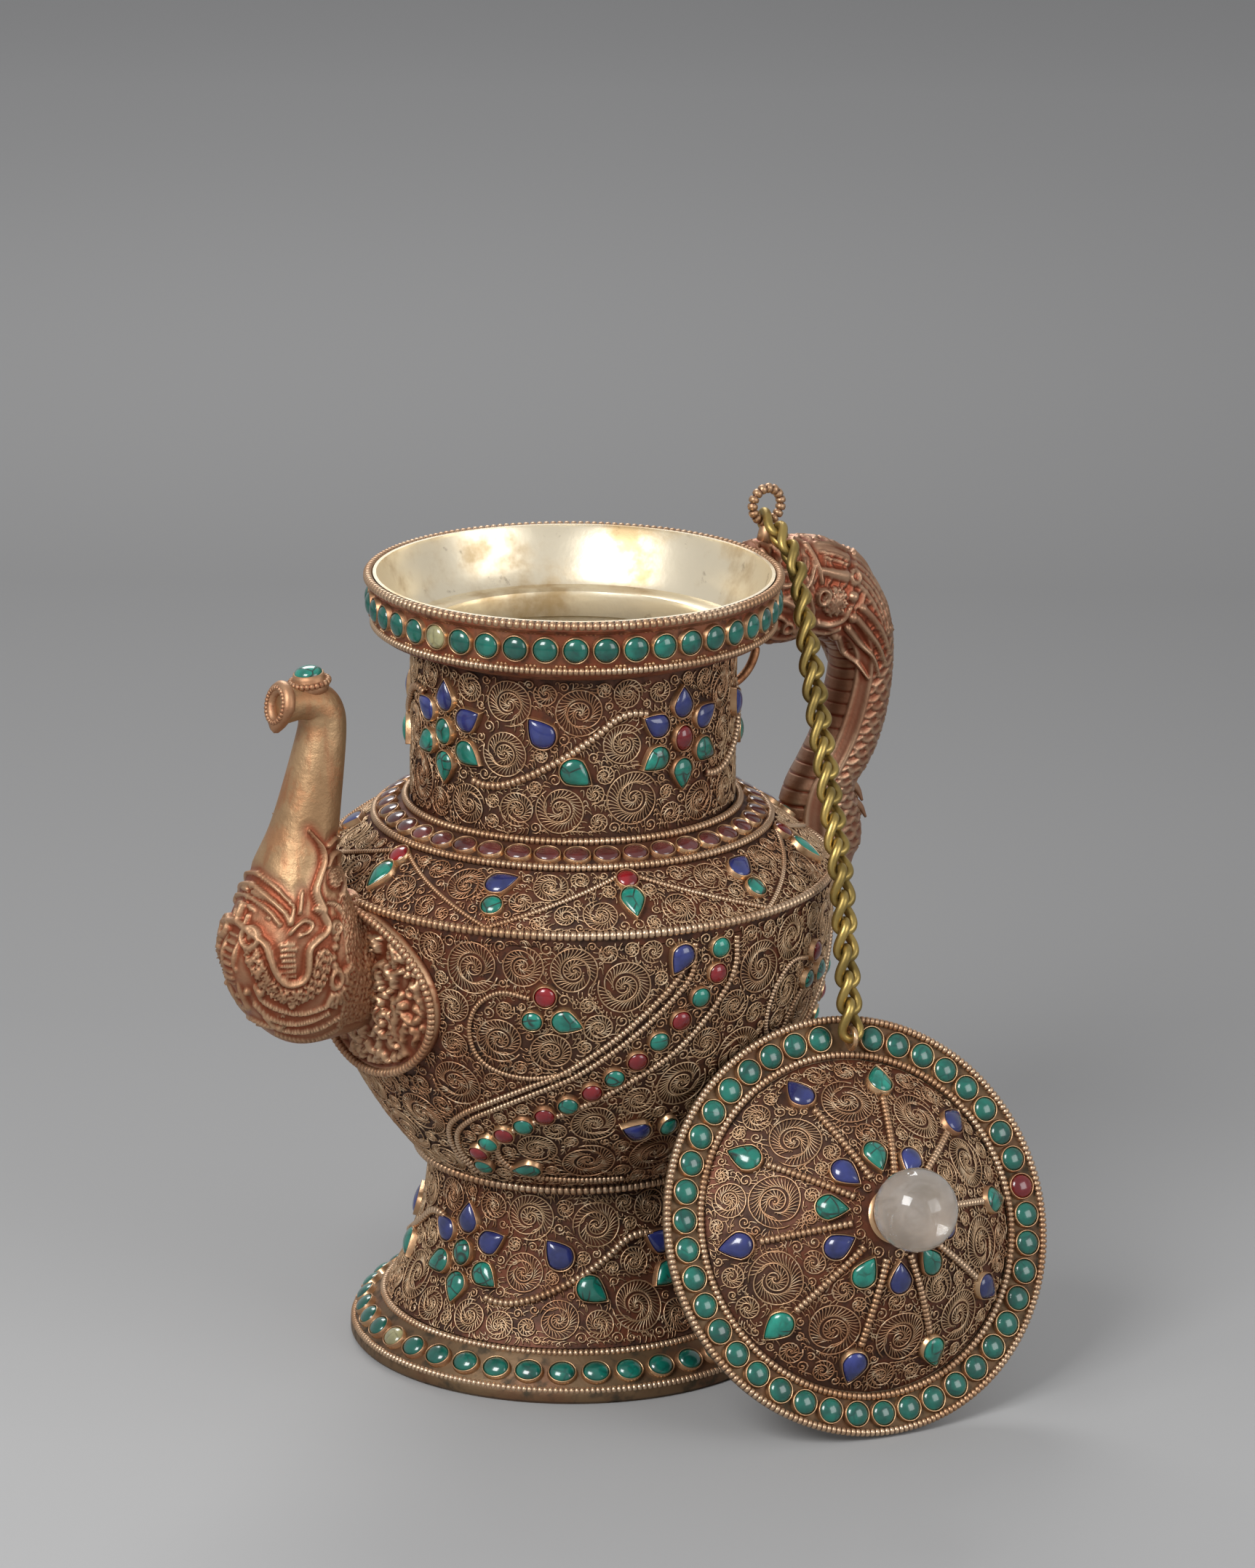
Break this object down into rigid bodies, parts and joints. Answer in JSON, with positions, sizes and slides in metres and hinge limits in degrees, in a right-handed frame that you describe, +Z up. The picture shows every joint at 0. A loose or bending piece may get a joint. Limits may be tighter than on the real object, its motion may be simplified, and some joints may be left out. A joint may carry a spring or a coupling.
{
  "type": "tibetan ewer with chained lid",
  "caption": "Gilt copper ewer with makara spout, dragon handle and turquoise bands; its domed lid with a rock crystal finial hangs on a twisted-link chain.",
  "frame": {"origin": "on the ewer's vertical axis, at the underside of the foot, where it stands on the ground", "axes": "+Z up along the ewer's axis; the spout points to -X and the handle to +X; the lid leans on the -Y side"},
  "size_m": [0.227, 0.2242, 0.2501],
  "materials": {
    "gilt_copper": "aged gilt copper with filigree, worn and darkened in the recesses",
    "cast_gilt": "cast gilt copper, satin, orange-brown patina",
    "pale_gilt": "worn pale gilding, fairly shiny",
    "chain_brass": "olive-brown brass wire, satin",
    "turquoise_band": "green-blue turquoise cabochons in gilt settings, polished",
    "garnet_band": "dark red oval cabochons in gilt settings, polished",
    "rock_crystal": "clear polished rock crystal with faint veils"
  },
  "bodies": {
    "ewer": {"foot_ring": "turquoise_band", "base_plate": "gilt_copper", "pedestal": "gilt_copper", "belly_bowl": "gilt_copper", "shoulder": "gilt_copper", "garnet_ring": "garnet_band", "neck": "gilt_copper", "rim_collar": "turquoise_band", "rim_dish": "pale_gilt", "spout_boss": "cast_gilt", "spout": "cast_gilt", "spout_lip": "cast_gilt", "spout_cap": "turquoise_band", "handle": "cast_gilt", "handle_ring": "cast_gilt", "handle_stay": "cast_gilt"},
    "link_01": {"chain_link_01": "chain_brass"},
    "link_02": {"chain_link_02": "chain_brass"},
    "link_03": {"chain_link_03": "chain_brass"},
    "link_04": {"chain_link_04": "chain_brass"},
    "link_05": {"chain_link_05": "chain_brass"},
    "link_06": {"chain_link_06": "chain_brass"},
    "link_07": {"chain_link_07": "chain_brass"},
    "link_08": {"chain_link_08": "chain_brass"},
    "link_09": {"chain_link_09": "chain_brass"},
    "link_10": {"chain_link_10": "chain_brass"},
    "link_11": {"chain_link_11": "chain_brass"},
    "link_12": {"chain_link_12": "chain_brass"},
    "link_13": {"chain_link_13": "chain_brass"},
    "link_14": {"chain_link_14": "chain_brass"},
    "link_15": {"chain_link_15": "chain_brass"},
    "link_16": {"chain_link_16": "chain_brass"},
    "link_17": {"chain_link_17": "chain_brass"},
    "link_18": {"chain_link_18": "chain_brass"},
    "link_19": {"chain_link_19": "chain_brass"},
    "link_20": {"chain_link_20": "chain_brass"},
    "link_21": {"chain_link_21": "chain_brass"},
    "lid": {"lid_flange": "turquoise_band", "lid_sleeve": "pale_gilt", "lid_dome": "gilt_copper", "finial_cup": "cast_gilt", "crystal_ball": "rock_crystal", "lid_eyelet": "cast_gilt"}
  },
  "joints": [
    {"name": "hinge_01", "type": "hinge", "parent": "ewer", "child": "link_01", "pos_m": [0.067, 0, 0.2391], "axis": [-1, 0, 0], "range_deg": [0, 10]},
    {"name": "hinge_02", "type": "hinge", "parent": "link_01", "child": "link_02", "pos_m": [0.067, -0.00728, 0.23645], "axis": [-0.953, -0.1036, 0.2848], "range_deg": [0, 10]},
    {"name": "hinge_03", "type": "hinge", "parent": "link_02", "child": "link_03", "pos_m": [0.06648, -0.01383, 0.23233], "axis": [-0.953, -0.1036, 0.2848], "range_deg": [0, 10]},
    {"name": "hinge_04", "type": "hinge", "parent": "link_03", "child": "link_04", "pos_m": [0.06547, -0.01931, 0.22695], "axis": [-0.953, -0.1036, 0.2848], "range_deg": [0, 10]},
    {"name": "hinge_05", "type": "hinge", "parent": "link_04", "child": "link_05", "pos_m": [0.06402, -0.02346, 0.22057], "axis": [-0.9757, 0.005, 0.2192], "range_deg": [0, 10]},
    {"name": "hinge_06", "type": "hinge", "parent": "link_05", "child": "link_06", "pos_m": [0.06257, -0.02761, 0.21419], "axis": [-0.9821, 0.1173, 0.1474], "range_deg": [0, 10]},
    {"name": "hinge_07", "type": "hinge", "parent": "link_06", "child": "link_07", "pos_m": [0.06111, -0.03176, 0.20781], "axis": [-0.971, 0.2276, 0.0731], "range_deg": [0, 10]},
    {"name": "hinge_08", "type": "hinge", "parent": "link_07", "child": "link_08", "pos_m": [0.05966, -0.03591, 0.20143], "axis": [-0.9439, 0.3302, 0], "range_deg": [0, 10]},
    {"name": "hinge_09", "type": "hinge", "parent": "link_08", "child": "link_09", "pos_m": [0.05821, -0.04006, 0.19505], "axis": [-0.9439, 0.3302, 0], "range_deg": [0, 10]},
    {"name": "hinge_10", "type": "hinge", "parent": "link_09", "child": "link_10", "pos_m": [0.05676, -0.04421, 0.18867], "axis": [-0.9439, 0.3302, 0], "range_deg": [0, 10]},
    {"name": "hinge_11", "type": "hinge", "parent": "link_10", "child": "link_11", "pos_m": [0.0553, -0.04836, 0.18229], "axis": [-0.9439, 0.3302, 0], "range_deg": [0, 10]},
    {"name": "hinge_12", "type": "hinge", "parent": "link_11", "child": "link_12", "pos_m": [0.05385, -0.05252, 0.17591], "axis": [-0.9439, 0.3302, 0], "range_deg": [0, 10]},
    {"name": "hinge_13", "type": "hinge", "parent": "link_12", "child": "link_13", "pos_m": [0.0524, -0.05667, 0.16953], "axis": [-0.9439, 0.3302, 0], "range_deg": [0, 10]},
    {"name": "hinge_14", "type": "hinge", "parent": "link_13", "child": "link_14", "pos_m": [0.05095, -0.06082, 0.16315], "axis": [-0.9439, 0.3302, 0], "range_deg": [0, 10]},
    {"name": "hinge_15", "type": "hinge", "parent": "link_14", "child": "link_15", "pos_m": [0.0495, -0.06497, 0.15676], "axis": [-0.9439, 0.3302, 0], "range_deg": [0, 10]},
    {"name": "hinge_16", "type": "hinge", "parent": "link_15", "child": "link_16", "pos_m": [0.04804, -0.06912, 0.15038], "axis": [-0.9439, 0.3302, 0], "range_deg": [0, 10]},
    {"name": "hinge_17", "type": "hinge", "parent": "link_16", "child": "link_17", "pos_m": [0.04729, -0.07128, 0.14298], "axis": [-0.9439, 0.3302, 0], "range_deg": [0, 10]},
    {"name": "hinge_18", "type": "hinge", "parent": "link_17", "child": "link_18", "pos_m": [0.04653, -0.07343, 0.13558], "axis": [-0.9439, 0.3302, 0], "range_deg": [0, 10]},
    {"name": "hinge_19", "type": "hinge", "parent": "link_18", "child": "link_19", "pos_m": [0.04578, -0.07559, 0.12817], "axis": [-0.9439, 0.3302, 0], "range_deg": [0, 10]},
    {"name": "hinge_20", "type": "hinge", "parent": "link_19", "child": "link_20", "pos_m": [0.04503, -0.07774, 0.12076], "axis": [-0.9439, 0.3302, 0], "range_deg": [0, 10]},
    {"name": "hinge_21", "type": "hinge", "parent": "link_20", "child": "link_21", "pos_m": [0.04427, -0.0799, 0.11336], "axis": [-0.9439, 0.3302, 0], "range_deg": [0, 10]},
    {"name": "hinge_lid", "type": "hinge", "parent": "link_21", "child": "lid", "pos_m": [0.04352, -0.08206, 0.10595], "axis": [-0.9439, 0.3302, 0], "range_deg": [0, 30]}
  ]
}
